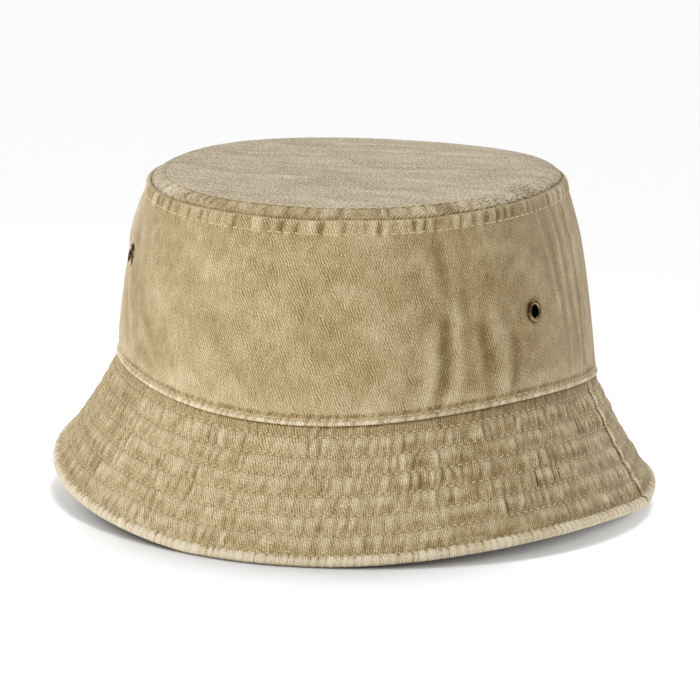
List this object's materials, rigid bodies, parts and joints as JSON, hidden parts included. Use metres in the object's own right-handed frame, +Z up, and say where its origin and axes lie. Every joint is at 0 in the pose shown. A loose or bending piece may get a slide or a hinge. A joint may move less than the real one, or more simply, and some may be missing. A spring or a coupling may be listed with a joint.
{
  "type": "bucket hat",
  "caption": "Soft cloth bucket hat with an oval flat-topped crown, vent eyelets and a sloping quilted brim stitched in rows.",
  "frame": {"origin": "centre of the brim's bounding box, on the surface the brim stands on", "axes": "+Z up out of the crown, +Y towards the back of the hat, +X towards the wearer's left"},
  "size_m": [0.22, 0.2524, 0.1197],
  "materials": {
    "twill": "washed cotton twill",
    "underside": "washed cotton twill, wrong side out of the weather",
    "interlining": "stiff woven interlining",
    "tape": "plain woven tape",
    "sweatband": "plain woven cotton",
    "thread": "spun cotton thread",
    "brass": "antiqued, darkened in the hollows"
  },
  "bodies": {
    "root": {"band_topstitch": "thread", "brim_interlining_back": "interlining", "brim_interlining_front": "interlining", "brim_stitch_row_1": "thread", "brim_stitch_row_2": "thread", "brim_stitch_row_3": "thread", "brim_stitch_row_4": "thread", "brim_stitch_row_5": "thread", "brim_stitch_row_6": "thread", "brim_stitch_row_7": "thread", "brim_under_back": "underside", "brim_under_front": "underside", "brim_upper_back": "twill", "brim_upper_front": "twill", "crown_base_topstitch": "thread", "crown_tip": "twill", "eyelet_back_left": "brass", "eyelet_back_right": "brass", "eyelet_front_left": "brass", "eyelet_front_right": "brass", "eyelet_washer_back_left": "brass", "eyelet_washer_back_right": "brass", "eyelet_washer_front_left": "brass", "eyelet_washer_front_right": "brass", "side_panel_back": "twill", "side_panel_front": "twill", "side_seam_tape_left": "tape", "side_seam_tape_right": "tape", "sweatband": "sweatband", "tip_seam_binding": "tape", "tip_topstitch": "thread"}
  },
  "joints": []
}
